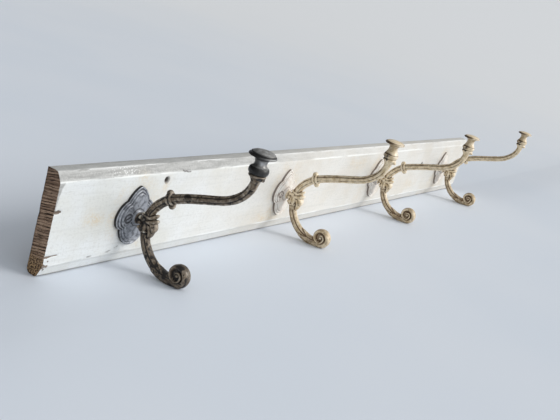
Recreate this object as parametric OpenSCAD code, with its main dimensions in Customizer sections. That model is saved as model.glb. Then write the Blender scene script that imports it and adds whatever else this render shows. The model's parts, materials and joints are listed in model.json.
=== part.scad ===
// Wall hook rack: a bevelled wooden board with a row of antique double hat-and-coat hooks.
// Frame: X along the board, +Y into the wall, +Z up. The origin is the centre of the board's
// back face, and the hooks stand out towards -Y. Millimetres.

/* [Board] */
// Length of the board
board_l = 1010; // [640:5:1400]
// Height of the board
board_h = 100; // [88:1:140]
// Thickness of the board
board_t = 18; // [17:0.5:30]
// Height of the bevel along the top front edge
top_bevel_h = 8.5; // [4:0.5:12]
// Depth of the bevel along the top front edge
top_bevel_d = 5.5; // [2:0.5:8]
// Height of the bevel along the bottom front edge
bottom_bevel_h = 12.5; // [4:0.5:13]
// Depth of the bevel along the bottom front edge
bottom_bevel_d = 5.5; // [2:0.5:8]
// Radius of the rounded bottom edge at the back
back_round_r = 5; // [2:0.5:8]

/* [Hook row] */
// Number of hooks
hook_n = 4; // [2:1:6]
// Distance from each end of the board to the nearest hook
end_margin = 103; // [60:1:150]
// How far each hook was set to the right of its even place, from the left hook on
hook_nudge = [0, 2.2, -2.7, 0]; // [-4:0.1:4]

/* [Wall screw holes] */
// Radius of the shank hole
wall_hole_r = 2.25; // [1.75:0.25:3]
// Radius of the countersink at the front
wall_sink_r = 4; // [3.5:0.25:5]
// Distance of the left hole to the right of the first hook
left_hole_in = 36.5; // [34:0.5:48]
// Height of the left hole above the middle of the board
left_hole_z = 34; // [-20:0.5:34]
// Distance of the right hole to the left of the last hook
right_hole_in = 98; // [60:1:110]
// Height of the right hole above the middle of the board
right_hole_z = 13.5; // [-20:0.5:34]

/* [Backplate] */
// Half the width of the plate on an iron hook
iron_plate_half_w = 26; // [24:0.5:31]
// Half the width of the plate on a painted hook
painted_plate_half_w = 23.5; // [22.5:0.5:28]
// Height of the plate's tip above its middle
plate_up = 31; // [26:0.5:37]
// Depth of the plate's foot below its middle
plate_down = 30; // [26:0.5:36]
// Thickness of the pressed sheet
sheet_t = 1.3; // [1:0.1:1.5]
// Height of each of the plate's steps
step_h = 1.6; // [1.6:0.1:2]
// How far each step is set in from the one below
step_in = 3; // [2:0.25:3.5]
// Radius of the raised boss in the middle
boss_r = 6.5; // [6.2:0.1:6.8]
// Height of the boss above the top step
boss_h = 2.2; // [2:0.1:3]

/* [Plate screws] */
// Distance of each screw from the middle of the plate
screw_out = 12.5; // [12.25:0.25:13]
// Radius of the screw's thread
screw_r = 1.75; // [1.5:0.05:2]
// Radius of the countersunk head
screw_head_r = 4; // [3.5:0.1:4.1]
// How deep the screw goes into the board
screw_in = 13; // [10:0.5:14]

/* [Casting] */
// How far the knot in the middle stands out from the board
knot_out = 17; // [16:0.5:18]
// Radius of the upper arm
arm_r = 4.8; // [4:0.1:5.2]
// Radius of the lower arm where it meets the scroll
low_arm_r = 5.1; // [4.5:0.1:5.6]
// Radius of the bend of the lower arm
low_bend_r = 41; // [38:0.5:43]
// Radius of the scroll
scroll_r = 12; // [11:0.25:13]
// Radius of the scroll's rounded rim
scroll_rim_r = 5.5; // [4.5:0.25:5.75]
// Radius of the tenon through the backplate
tenon_r = 3; // [2.5:0.1:3.5]
// Radius of the tenon's peened head behind the plate
peen_r = 4.2; // [3.8:0.1:4.4]

/* [Knobs] */
// Number of hooks, from the left, that have the iron knob with a bulb
iron_n = 1; // [0:1:6]
// How far the knobs' axis stands out from the board
knob_out = 120.5; // [118:0.5:124]
// Height of the knob's seat above the middle of the board, on an iron hook
iron_seat_z = 90.6; // [89:0.2:92]
// Height of the knob's seat above the middle of the board, on a painted hook
painted_seat_z = 96.8; // [95:0.2:98]
// Radius of the iron knob's cap
iron_cap_r = 13; // [11.5:0.25:15]
// Height of the iron knob
iron_knob_h = 22.5; // [21:0.5:27]
// Radius of the painted knob's cap
painted_cap_r = 11.5; // [10:0.25:13.5]
// Height of the painted knob
painted_knob_h = 17; // [15:0.5:20]
// Radius of the stud that holds the knob
stud_r = 2; // [1.75:0.05:2.25]
// How far the stud goes into the casting
stud_down = 8; // [6:0.5:9]
// How far the stud goes into the knob
stud_up = 9; // [7:0.5:10]

/* [Hidden] */
$fn = 48;
eps = 0.02;
// Space all round a screw, stud or tenon in its hole
fit_gap = 0.05;
// Space past the blind end of a screw's or stud's hole
tip_gap = 1;
hook_gap = (board_l - 2 * end_margin) / (hook_n - 1);
hook_numbers = [1:hook_n];

// The plate has three steps, and its boss stands on the last one.
step_n = 3;
top_step_d = step_n * step_h;
boss_d = top_step_d + boss_h;
peen_t = 1.8;
peen_z = boss_d - sheet_t - peen_t;
thread_pitch = 1.2;
thread_depth = 0.35;
screw_point_h = 3;
slot_w = 1;
slot_h = 1.6;
stem_r = 5;
stem_flare_r = 6;
stem_flare_h = 3;

// The upper arm's route from the knot to the cup, as [out, up] control points of Bezier curves.
upper_arm = [
    [[knot_out, 0], [knot_out + 0.5, 11], [24, 23.5], [38.5, 32.5]],
    [[38.5, 32.5], [52, 40], [72, 46.5], [90, 53]],
    [[90, 53], [100, 56.5], [knob_out - 1.2, 66], [knob_out, 86]]
];
ring_at = upper_arm[1][0];
ring_slope = 28;
ring_out_r = 6;
ring_bead_r = 1.7;
ball_r = 2.9;
// The lower arm is one bend, from straight down at the knot to just past the bottom.
low_bend_end = 281;
low_bend_mid = [knot_out + low_bend_r, 0.5];
scroll_mid = [low_bend_mid[0] + 11.5, low_bend_mid[1] - low_bend_r + 8.5];
// The scroll's web is thinner than its rim by this much.
web_sink = 3;
eye_r = 4.2;
eye_out = 2.6;
// The upper arm loses this share of its radius from the knot to the cup.
arm_taper = 0.16;
arm_sides = 14;
knot_r = 7.4;
leaf_w = 9;
// The cup's lip is thickest at its rim. On a painted hook a drum stands on it.
cup_rim_r = 8;
drum_rim_r = 7.6;
drum_h = 5.5;

function is_iron(i) = i <= iron_n;
function nudge(i) = i > len(hook_nudge) ? 0 : hook_nudge[i - 1];
function hook_x(i) = -board_l / 2 + end_margin + (i - 1) * hook_gap + nudge(i);
function plate_half_w(i) = is_iron(i) ? iron_plate_half_w : painted_plate_half_w;
function seat_z(i) = is_iron(i) ? iron_seat_z : painted_seat_z;
function cap_r(i) = is_iron(i) ? iron_cap_r : painted_cap_r;
function knob_h(i) = is_iron(i) ? iron_knob_h : painted_knob_h;

// A point on a cubic Bezier curve.
function bez(p, t) = pow(1 - t, 3) * p[0] + 3 * pow(1 - t, 2) * t * p[1]
    + 3 * (1 - t) * t * t * p[2] + t * t * t * p[3];
// Points along Bezier curves that follow each other, with n steps to each.
function chain(curves, n) = concat(
    [for (c = curves, k = [0:n - 1]) bez(c, k / n)],
    [curves[len(curves) - 1][3]]
);

// The right half of the plate's outline, from tip to foot, with width and heights of 1.
plate_curves = [
    [[0, 1], [0.22, 0.96], [0.42, 0.76], [0.55, 0.53]],
    [[0.55, 0.53], [0.74, 0.49], [1, 0.24], [1, -0.03]],
    [[1, -0.03], [1, -0.22], [0.88, -0.38], [0.70, -0.40]],
    [[0.70, -0.40], [0.66, -0.66], [0.40, -1], [0, -1]]
];
half_outline = chain(plate_curves, 8);
whole_outline = concat(
    half_outline,
    [for (k = [len(half_outline) - 2:-1:1]) [-half_outline[k][0], half_outline[k][1]]]
);
// The outline of hook i's plate, taken in by inset all round.
function plate_outline(i, inset) = [for (p = whole_outline) [
    p[0] * (plate_half_w(i) - inset),
    p[1] * ((p[1] > 0 ? plate_up : plate_down) - inset)
]];

// Moves its children to hook i, where y = 0 is the face of the board.
module at_hook(i) translate([hook_x(i), -board_t, 0]) children();
// Turns a drawing of the hook's front, and what is built up from it, to face forward.
module facing_front() rotate([90, 0, 0]) children();
// Turns a drawing of the hook's side, [out, up], to stand in the hook's middle plane.
module side_view() rotate([90, 0, -90]) children();

module board_profile() {
    front = -board_t;
    top = board_h / 2;
    round_mid = [-back_round_r, -top + back_round_r];
    polygon(concat(
        [
            [0, top],
            [front + top_bevel_d, top],
            [front, top - top_bevel_h],
            [front, -top + bottom_bevel_h],
            [front + bottom_bevel_d, -top]
        ],
        [for (a = [-90:15:0]) round_mid + back_round_r * [cos(a), sin(a)]]
    ));
}

module wall_hole(x, z) {
    sink_d = wall_sink_r - wall_hole_r;
    translate([x, 0, z]) facing_front() {
        translate([0, 0, -eps]) cylinder(r = wall_hole_r, h = board_t + 2 * eps);
        translate([0, 0, board_t - sink_d]) cylinder(r1 = wall_hole_r, r2 = wall_sink_r, h = sink_d);
        translate([0, 0, board_t - eps]) cylinder(r = wall_sink_r, h = 1);
    }
}

module board() color([0.90, 0.89, 0.86]) difference() {
    rotate([90, 0, 90]) linear_extrude(height = board_l, center = true) board_profile();
    for (i = hook_numbers, side = [-1, 1]) {
        at_hook(i) translate([side * screw_out, 0, 0]) facing_front()
            translate([0, 0, -screw_in - tip_gap]) cylinder(r = screw_r + fit_gap, h = board_t);
    }
    wall_hole(hook_x(1) + left_hole_in, left_hole_z);
    wall_hole(hook_x(hook_n) - right_hole_in, right_hole_z);
}

// The plate's steps and boss as one lump, taken in by the thickness of skin on all sides.
module plate_lump(i, skin) {
    for (k = [0:step_n - 1]) {
        linear_extrude(height = (k + 1) * step_h - skin)
            polygon(plate_outline(i, k * step_in + skin));
    }
    cylinder(r1 = boss_r - skin + boss_h, r2 = boss_r - skin, h = boss_d - skin);
}

module screw_sink() {
    cylinder(r = screw_r + fit_gap, h = boss_d);
    translate([0, 0, top_step_d - screw_head_r + screw_r])
        cylinder(r1 = screw_r + fit_gap, r2 = screw_head_r + fit_gap, h = screw_head_r - screw_r);
    translate([0, 0, top_step_d - eps]) cylinder(r = screw_head_r + fit_gap, h = boss_h + 1);
}

module backplate(i) color(is_iron(i) ? [0.47, 0.48, 0.51] : [0.80, 0.76, 0.70])
    at_hook(i) facing_front() difference() {
        plate_lump(i, 0);
        translate([0, 0, -eps]) plate_lump(i, sheet_t);
        translate([0, 0, -1]) cylinder(r = tenon_r + fit_gap, h = boss_d + 2);
        for (side = [-1, 1]) {
            translate([side * screw_out, 0, 0]) screw_sink();
        }
    }

// A round bar along a route in the hook's middle plane. The route is a list of [out, up] points,
// and radii gives the bar's radius at each.
module bar(route, radii) {
    n = len(route);
    slopes = [for (k = [0:n - 1]) route[min(k + 1, n - 1)] - route[max(k - 1, 0)]];
    normals = [for (s = slopes) [-s[1], s[0]] / norm(s)];
    rings = [for (k = [0:n - 1], j = [0:arm_sides - 1])
        let (a = 360 * j / arm_sides, p = route[k] + radii[k] * sin(a) * normals[k])
            [radii[k] * cos(a), -p[0], p[1]]];
    sides = [for (k = [0:n - 2], j = [0:arm_sides - 1])
        let (here = k * arm_sides, next = here + arm_sides, j2 = (j + 1) % arm_sides)
            [here + j, next + j, next + j2, here + j2]];
    start_cap = [for (j = [0:arm_sides - 1]) j];
    end_cap = [for (j = [arm_sides - 1:-1:0]) (n - 1) * arm_sides + j];
    polyhedron(points = rings, faces = concat(sides, [start_cap, end_cap]));
}

module upper_bar() {
    route = chain(upper_arm, 9);
    n = len(route);
    bar(route, [for (k = [0:n - 1]) arm_r * (1 - arm_taper * k / n)]);
}

module lower_bar() {
    steps = 20;
    turn = low_bend_end - 180;
    route = [for (k = [0:steps])
        let (a = 180 + turn * k / steps) low_bend_mid + low_bend_r * [cos(a), sin(a)]];
    bar(route, [for (k = [0:steps]) arm_r + (low_arm_r - arm_r) * sin(180 * pow(k / steps, 1.6))]);
}

// The scroll is a rounded drum across the hook with a domed eye on each side.
module scroll() side_view() translate([scroll_mid[0], scroll_mid[1], 0]) {
    rim_mid_r = scroll_r - scroll_rim_r;
    rotate_extrude() translate([rim_mid_r, 0]) circle(r = scroll_rim_r);
    cylinder(r = rim_mid_r, h = 2 * scroll_rim_r - web_sink, center = true);
    for (side = [-1, 1]) {
        translate([0, 0, side * eye_out]) sphere(r = eye_r);
    }
}

// The ring part-way along the upper arm, with a ball above it and one below.
module arm_ring() side_view() translate([ring_at[0], ring_at[1], 0]) rotate([0, 0, ring_slope]) {
    rotate([0, 90, 0]) rotate_extrude()
        translate([ring_out_r - ring_bead_r, 0]) circle(r = ring_bead_r);
    for (side = [-1, 1]) {
        translate([0, side * ring_out_r, 0]) sphere(r = ball_r);
    }
}

// The leafy knot where the arms and the stem meet.
module knot() {
    side_view() linear_extrude(height = leaf_w, center = true) polygon([
        [knot_out, 12], [25, 10.5], [29, 12], [28, 8.5], [30, 5.5], [28, 2], [28.8, -2],
        [26.6, -5], [27, -9], [24.5, -13], [knot_out, -9]
    ]);
    translate([0, -knot_out, 0]) sphere(r = knot_r);
    for (side = [-1, 1]) {
        translate([side * 6.6, -knot_out + 3, 3]) sphere(r = 3);
        translate([side * 6.2, -knot_out + 3, -5]) sphere(r = 2.6);
    }
}

// The stem from the plate to the knot, and the tenon that is peened over behind the plate.
module stem() facing_front() {
    translate([0, 0, boss_d]) cylinder(r1 = stem_flare_r, r2 = stem_r, h = stem_flare_h);
    translate([0, 0, boss_d + stem_flare_h - eps])
        cylinder(r = stem_r, h = knot_out - boss_d - stem_flare_h);
    translate([0, 0, peen_z]) cylinder(r = tenon_r, h = peen_t + sheet_t + 1);
    translate([0, 0, peen_z]) cylinder(r = peen_r, h = peen_t);
}

module cup_profile(i) {
    seat = seat_z(i);
    rim_z = is_iron(i) ? seat : seat - drum_h;
    rim_r = is_iron(i) ? cup_rim_r : drum_rim_r;
    lip = [[0, rim_z - 9], [3.6, rim_z - 9], [4.6, rim_z - 5], [rim_r, rim_z - 1.8], [rim_r, rim_z]];
    drum = [
        [drum_rim_r - 0.8, rim_z + 0.8],
        [drum_rim_r + 0.6, rim_z + 2.4],
        [drum_rim_r + 1.1, seat - 0.6],
        [drum_rim_r + 0.7, seat]
    ];
    polygon(concat(lip, is_iron(i) ? [] : drum, [[0, seat]]));
}

module casting(i) color(is_iron(i) ? [0.33, 0.29, 0.25] : [0.68, 0.62, 0.52])
    at_hook(i) difference() {
        union() {
            upper_bar();
            lower_bar();
            scroll();
            arm_ring();
            knot();
            stem();
            translate([0, -knob_out, 0]) rotate_extrude() cup_profile(i);
        }
        translate([0, -knob_out, seat_z(i) - stud_down - tip_gap])
            cylinder(r = stud_r + fit_gap, h = stud_down + tip_gap + 1);
    }

// Half the knob's section, from its seat up. The bulb is there on an iron knob only.
module knob_section(i) {
    h = knob_h(i);
    cap = cap_r(i);
    rim_z = h - (is_iron(i) ? 5 : 3.4);
    neck_r = is_iron(i) ? 5.8 : 5.6;
    neck_z = rim_z * 0.62;
    bulb = [
        [[6.5, 0], [10, 0.6], [10, 6.6], [7.4, 7.6]],
        [[7.4, 7.6], [6.4, 8], [neck_r, 9], [neck_r, neck_z]]
    ];
    skirt = [[[8.2, 0], [7.4, 2.4], [neck_r, 4], [neck_r, neck_z]]];
    edge_low = [cap - 0.6, rim_z - 0.8];
    edge_high = [cap - 0.6, rim_z + 0.8];
    under = [[neck_r, neck_z], [neck_r, rim_z - 2.6], [cap - 4, rim_z - 1.6], edge_low];
    edge = [edge_low, [cap + 0.2, rim_z - 0.6], [cap + 0.2, rim_z + 0.6], edge_high];
    dome = [edge_high, [cap * 0.72, h - 1.2], [cap * 0.4, h], [0, h]];
    polygon(concat([[0, 0]], chain(concat(is_iron(i) ? bulb : skirt, [under, edge, dome]), 6)));
}

module knob(i) color(is_iron(i) ? [0.30, 0.29, 0.28] : [0.72, 0.67, 0.58])
    at_hook(i) translate([0, -knob_out, seat_z(i)]) difference() {
        rotate_extrude() knob_section(i);
        translate([0, 0, -1]) cylinder(r = stud_r + fit_gap, h = stud_up + tip_gap + 1);
    }

// Half the section of a threaded bar from z = 0 up to z = length, with a point if tip_h is over 0.
module thread_section(r, length, tip_h) {
    turns = floor((length - tip_h) / thread_pitch);
    ridges = [for (k = [0:turns - 1])
        let (z = length - (k + 1) * thread_pitch)
            each [[r, z + thread_pitch / 2], [r - thread_depth, z]]];
    foot = length - turns * thread_pitch;
    blunt = [[r - thread_depth, foot - min(foot, eps)], [r - thread_depth, 0]];
    polygon(concat(
        [[0, length], [r - thread_depth, length]],
        ridges,
        tip_h > 0 ? [] : blunt,
        [[0, 0]]
    ));
}

module stud(i) color([0.45, 0.44, 0.43]) at_hook(i)
    translate([0, -knob_out, seat_z(i) - stud_down])
        rotate_extrude() thread_section(stud_r, stud_down + stud_up, 0);

// A slotted countersunk screw. Its tip is screw_in behind the face of the board.
module plate_screw(i, side) color(is_iron(i) ? [0.45, 0.46, 0.49] : [0.70, 0.66, 0.58]) {
    cone_h = screw_head_r - screw_r;
    shank_h = screw_in + top_step_d - cone_h;
    head_z = shank_h + cone_h;
    slot_turn = 40 + 55 * i + 70 * side;
    at_hook(i) translate([side * screw_out, 0, 0]) facing_front() translate([0, 0, -screw_in])
        difference() {
            union() {
                rotate_extrude() thread_section(screw_r, shank_h, screw_point_h);
                translate([0, 0, shank_h - 0.4]) cylinder(r = screw_r - thread_depth, h = 0.6);
                translate([0, 0, shank_h]) cylinder(r1 = screw_r, r2 = screw_head_r, h = cone_h);
                translate([0, 0, head_z - eps])
                    cylinder(r1 = screw_head_r, r2 = screw_head_r - 1.4, h = 0.6);
            }
            translate([0, 0, head_z + 0.2]) rotate([0, 0, slot_turn])
                cube([3 * screw_head_r, slot_w, slot_h], center = true);
        }
}

board();
for (i = hook_numbers) {
    backplate(i);
    casting(i);
    knob(i);
    stud(i);
    plate_screw(i, -1);
    plate_screw(i, 1);
}
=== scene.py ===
import json
import math

import bmesh
import bpy
import numpy as np
from mathutils import Matrix, Vector


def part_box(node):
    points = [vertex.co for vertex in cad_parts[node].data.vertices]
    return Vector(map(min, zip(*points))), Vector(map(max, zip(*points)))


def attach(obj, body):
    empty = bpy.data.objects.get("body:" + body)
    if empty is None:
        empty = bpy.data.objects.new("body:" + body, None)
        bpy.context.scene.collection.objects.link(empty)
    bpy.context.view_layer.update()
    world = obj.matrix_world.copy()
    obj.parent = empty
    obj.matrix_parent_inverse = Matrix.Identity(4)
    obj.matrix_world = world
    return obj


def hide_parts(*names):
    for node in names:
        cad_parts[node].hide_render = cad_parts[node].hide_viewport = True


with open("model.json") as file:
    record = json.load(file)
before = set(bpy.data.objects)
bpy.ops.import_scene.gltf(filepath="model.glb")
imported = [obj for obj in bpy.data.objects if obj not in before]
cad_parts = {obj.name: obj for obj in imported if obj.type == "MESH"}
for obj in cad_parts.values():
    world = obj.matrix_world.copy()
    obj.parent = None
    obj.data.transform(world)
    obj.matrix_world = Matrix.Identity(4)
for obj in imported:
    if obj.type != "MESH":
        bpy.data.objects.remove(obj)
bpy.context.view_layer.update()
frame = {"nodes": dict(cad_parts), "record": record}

# The looks of a wall hook rack: an old bevelled board with four double hooks.
# Pieces are drawn in millimetres and turned to metres as they are made. A hook's own points are
# [across, out, up]: out is measured from the face of the board.
MM = 0.001
BOARD_LOW, BOARD_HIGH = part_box("board")
FACE_Y = BOARD_LOW.y
LEFT, FRONT, LOW = (c / MM for c in BOARD_LOW)
RIGHT, BACK, TOP = (c / MM for c in BOARD_HIGH)
WALL_HOLES = [np.array(m["pos_m"]) / MM for m in frame["record"]["mounts"] if m["name"].startswith("wall_hole_")]
HOOK_NUMBERS = sorted(int(n.split("_")[1]) for n in frame["nodes"] if n.startswith("casting_"))
SIDES = (-1, 1)

# The camera stands to the left of the rack and looks along it, with the same roll as the picture.
CAMERA_AT = (-0.96535, -0.48024, 0.26656)
CAMERA_RIGHT = (0.536443, -0.795015, 0.28316)
CAMERA_UP = (0.100747, 0.393451, 0.913809)
CAMERA_BACK = (-0.837901, -0.461679, 0.29116)
LENS_MM = 50.914
SENSOR_MM = 36.0


# ---------------------------------------------------------------- numbers

def ease(low, high, x):
    """0 at low and 1 at high, with a smooth slope between them."""
    t = np.clip((np.asarray(x, float) - low) / (high - low), 0.0, 1.0)
    return t * t * (3.0 - 2.0 * t)


def bell(x, width=1.0):
    """1 where x is 0, and close to 0 from twice the width on."""
    return np.exp(-(x / width) ** 2)


def lattice(cells, seed):
    """A number from 0 to 1 for each whole-numbered cell, always the same for the same cell."""
    c = cells.astype(np.int64)
    h = (c[..., 0] * 73856093) ^ (c[..., 1] * 19349663) ^ (c[..., 2] * 83492791) ^ (seed * 2654435761)
    h = (h ^ (h >> 13)) * 1274126177
    h = h ^ (h >> 16)
    return (h & 0xFFFFFF) / float(0xFFFFFF)


def noise(points, size, seed):
    """Smooth noise from -1 to 1 at points, with features of the given size."""
    p = np.asarray(points, float) / size
    base = np.floor(p)
    f = p - base
    f = f * f * (3.0 - 2.0 * f)
    total = np.zeros(len(p))
    for corner in range(8):
        step = np.array([corner & 1, (corner >> 1) & 1, (corner >> 2) & 1])
        weight = np.prod(np.where(step == 1, f, 1.0 - f), axis=1)
        total += weight * lattice(base + step, seed)
    return total * 2.0 - 1.0


def bezier(p, n):
    """n + 1 points along a cubic Bezier curve."""
    t = np.linspace(0, 1, n + 1)[:, None]
    p = np.asarray(p, float)
    return (1 - t) ** 3 * p[0] + 3 * (1 - t) ** 2 * t * p[1] + 3 * (1 - t) * t * t * p[2] + t ** 3 * p[3]


def chain(curves, n):
    """Points along curves that follow each other, n to a curve."""
    return np.vstack([bezier(c, n)[:-1] for c in curves] + [curves[-1][3]])


# ---------------------------------------------------------------- meshes

def shade(obj, smooth=True):
    obj.data.polygons.foreach_set("use_smooth", [smooth] * len(obj.data.polygons))


def mesh_object(name, points, faces):
    mesh = bpy.data.meshes.new(name)
    mesh.from_pydata([tuple(p) for p in points], [], [tuple(f) for f in faces])
    bm = bmesh.new()
    bm.from_mesh(mesh)
    bmesh.ops.recalc_face_normals(bm, faces=bm.faces)
    bm.to_mesh(mesh)
    bm.free()
    made = bpy.data.objects.new(name, mesh)
    shade(made)
    bpy.context.scene.collection.objects.link(made)
    return made


def grid_faces(rows, cols, wrap_cols=True, wrap_rows=False):
    """Quads between rows of points, each row with cols points."""
    faces = []
    for r in range(rows if wrap_rows else rows - 1):
        r2 = (r + 1) % rows
        for c in range(cols if wrap_cols else cols - 1):
            c2 = (c + 1) % cols
            faces.append((r * cols + c, r * cols + c2, r2 * cols + c2, r2 * cols + c))
    return faces


def closed_faces(rows, cols):
    """Quads between rings of points, with the first and the last ring filled."""
    return grid_faces(rows, cols) + [tuple(range(cols))[::-1], tuple(range((rows - 1) * cols, rows * cols))]


def joined(parts):
    """Several (points, faces) as one."""
    points, faces, start = [], [], 0
    for p, f in parts:
        points.append(np.asarray(p, float))
        faces += [tuple(i + start for i in face) for face in f]
        start += len(p)
    return np.vstack(points), faces


def applied(obj):
    """The object with its modifiers made part of its mesh."""
    graph = bpy.context.evaluated_depsgraph_get()
    mesh = bpy.data.meshes.new_from_object(obj.evaluated_get(graph))
    old = obj.data
    obj.modifiers.clear()
    obj.data = mesh
    bpy.data.meshes.remove(old)
    mesh.name = obj.name
    return obj


def cut(obj, cutter_parts):
    """Takes closed shapes out of obj."""
    cutter = mesh_object("cutter", *joined(cutter_parts))
    step = obj.modifiers.new("cut", "BOOLEAN")
    step.operation = "DIFFERENCE"
    step.solver = "MANIFOLD"
    step.object = cutter
    shade(applied(obj))
    bpy.data.objects.remove(cutter)


def read_values(items, name, width, kind=np.float32):
    """A property of all of a mesh's items, in rows of the given width."""
    values = np.zeros(len(items) * width, kind)
    items.foreach_get(name, values)
    return values.reshape(-1, width)


def coordinates(obj):
    return read_values(obj.data.vertices, "co", 3).astype(float)


def normals(obj):
    return read_values(obj.data.vertex_normals, "vector", 3).astype(float)


def set_coordinates(obj, co):
    obj.data.vertices.foreach_set("co", co.astype(np.float32).ravel())
    obj.data.update()


def set_inside(obj, co, node):
    """Sets the coordinates, but none outside the box of a node of the frame."""
    low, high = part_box(node)
    set_coordinates(obj, np.clip(co, np.array(low), np.array(high)))


def edge_mean(first, second, edges, size):
    """The mean over each vertex's edges, where an edge counts as first at its first vertex and as
    second at its second."""
    total = np.bincount(edges[:, 0], weights=first, minlength=size)
    total += np.bincount(edges[:, 1], weights=second, minlength=size)
    return total / np.maximum(np.bincount(edges.ravel(), minlength=size), 1)


def neighbour_mean(values, edges):
    return edge_mean(values[edges[:, 1]], values[edges[:, 0]], edges, len(values))


def hollowness(obj, passes):
    """How far each vertex lies in a hollow, above 0, or on a ridge, below 0, per millimetre. Each pass
    evens it out between neighbours."""
    co, no = coordinates(obj), normals(obj)
    edges = read_values(obj.data.edges, "vertices", 2, np.int32)
    away = np.column_stack([neighbour_mean(v, edges) for v in co.T]) - co
    length2 = np.sum((co[edges[:, 0]] - co[edges[:, 1]]) ** 2, axis=1)
    mean2 = edge_mean(length2, length2, edges, len(co))
    bend = np.sum(away * no, axis=1) / np.maximum(mean2, 1e-12) * MM
    for _ in range(passes):
        bend = 0.5 * bend + 0.5 * neighbour_mean(bend, edges)
    return bend


def paint(obj, **marks):
    """Stores numbers from 0 to 1 at each vertex, by name, for the material to read."""
    for name, values in marks.items():
        attribute = obj.data.attributes.new(name, "FLOAT", "POINT")
        attribute.data.foreach_set("value", np.clip(values, 0, 1).astype(np.float32))


def finish_piece(obj, node, material, slot):
    """Gives obj its looks, and lets it stand for a node of the frame."""
    obj.data.materials.clear()
    obj.data.materials.append(MATERIALS[material])
    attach(obj, "root")
    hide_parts(node)


# ---------------------------------------------------------------- drawn shapes, in millimetres

AXIS_ORDER = {"up": [0, 1, 2], "out": [0, 2, 1], "across": [2, 0, 1]}


def lathe(profile, middle, turns=64, axis="up"):
    """Turns a profile of [radius, height] points round an axis through middle."""
    a = np.linspace(0, 2 * math.pi, turns, endpoint=False)
    rings = [np.column_stack([r * np.cos(a), r * np.sin(a), np.full(turns, h)]) for r, h in profile]
    points = np.vstack(rings)[:, AXIS_ORDER[axis]]
    return points + np.asarray(middle, float), closed_faces(len(rings), turns)


def raised(profile, height):
    return [(r, h + height) for r, h in profile]


def bead(radius, height, size):
    """The part of a lathe's profile that makes a half-round bead."""
    return [(radius + size * math.cos(t), height + size * math.sin(t)) for t in np.radians(np.linspace(-90, 90, 7))]


def ball(middle, radii, rows=14, turns=20):
    """A ball with its own radius each way."""
    profile = [(math.sin(t), -math.cos(t)) for t in np.linspace(0, math.pi, rows + 1)[1:-1]]
    points, faces = lathe([(0.02, -1.0)] + profile + [(0.02, 1.0)], (0, 0, 0), turns)
    return points * np.asarray(radii, float) + np.asarray(middle, float), faces


def tube(route, section, turns=24):
    """A bar along a route of [out, up] points in the hook's middle plane. section(s, angle) gives the
    half-sizes across and in the plane at share s of the length."""
    route = np.asarray(route, float)
    slope = np.gradient(route, axis=0)
    slope /= np.linalg.norm(slope, axis=1)[:, None]
    side = np.column_stack([-slope[:, 1], slope[:, 0]])
    a = np.linspace(0, 2 * math.pi, turns, endpoint=False)
    rows = []
    for k, at in enumerate(route):
        wide, deep = section(k / (len(route) - 1), a)
        rows.append(np.column_stack([wide * np.cos(a), at + (deep * np.sin(a))[:, None] * side[k]]))
    return np.vstack(rows), closed_faces(len(rows), turns)


def turned(part, angle, middle):
    """Turns a shape in the hook's middle plane by an angle in degrees, round a point [out, up]."""
    points, faces = part
    a = math.radians(angle)
    p = points.copy()
    out, up = p[:, 1] - middle[0], p[:, 2] - middle[1]
    p[:, 1] = middle[0] + out * math.cos(a) - up * math.sin(a)
    p[:, 2] = middle[1] + out * math.sin(a) + up * math.cos(a)
    return p, faces


# ---------------------------------------------------------------- hooks, from the frame

# The iron hook is the one whose knob has a cap wider than this radius.
WIDE_CAP_R = 12.2
# Each kind of piece's material and slot, on the iron hook and on a painted one.
FINISHES = {
    "backplate": (("plate_iron", "plate_steel"), ("plate_painted", "plate_cream")),
    "casting": (("casting_iron", "iron_brown"), ("casting_painted", "metal_cream")),
    "knob": (("knob_iron", "knob_iron"), ("casting_painted", "metal_cream")),
    "screw": (("screw_iron", "screw_steel"), ("plate_painted", "plate_cream"))
}


class Hook:
    def __init__(self, number):
        self.number = number
        low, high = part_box(f"backplate_{number}")
        knob_low, knob_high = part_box(f"knob_{number}")
        self.x = (low.x + high.x) / 2
        self.half_w = (high.x - low.x) / 2 / MM
        self.plate_up = high.z / MM
        self.plate_down = -low.z / MM
        self.boss_d = (FACE_Y - low.y) / MM
        self.seat = knob_low.z / MM
        self.knob_h = (knob_high.z - knob_low.z) / MM
        self.cap_r = (knob_high.x - knob_low.x) / 2 / MM
        self.knob_out = (FACE_Y - (knob_low.y + knob_high.y) / 2) / MM
        self.iron = self.cap_r > WIDE_CAP_R
        # The height of the cap's rim over the seat, and the size of the groove over the rim.
        self.rim = self.knob_h - self.pick(5.0, 3.4)
        self.step = self.pick(1.0, 0.6)

    def pick(self, iron, painted):
        return iron if self.iron else painted

    def place(self, shape):
        """A shape of [across, out, up] in millimetres to the frame's metres."""
        p = np.asarray(shape[0], float)
        return np.column_stack([self.x + p[:, 0] * MM, FACE_Y - p[:, 1] * MM, p[:, 2] * MM]), shape[1]

    def local(self, obj):
        """The points of a placed mesh as [across, out, up] in millimetres."""
        return (coordinates(obj) - [self.x, FACE_Y, 0]) / MM * [1, -1, 1]

    def make(self, name, shape):
        return mesh_object(f"{name}_{self.number}", *self.place(shape))

    def cut(self, obj, *shapes):
        cut(obj, [self.place(s) for s in shapes])

    def finish(self, obj, kind, node=None):
        finish_piece(obj, node or f"{kind}_{self.number}", *self.pick(*FINISHES[kind]))


HOOKS = [Hook(n) for n in HOOK_NUMBERS]


# ---------------------------------------------------------------- materials

def linear(*color):
    """An sRGB colour of 0 to 255 as the linear numbers that a shader takes."""
    c = np.array(color) / 255.0
    c = np.where(c <= 0.04045, c / 12.92, ((c + 0.055) / 1.055) ** 2.4)
    return (float(c[0]), float(c[1]), float(c[2]), 1.0)


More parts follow.
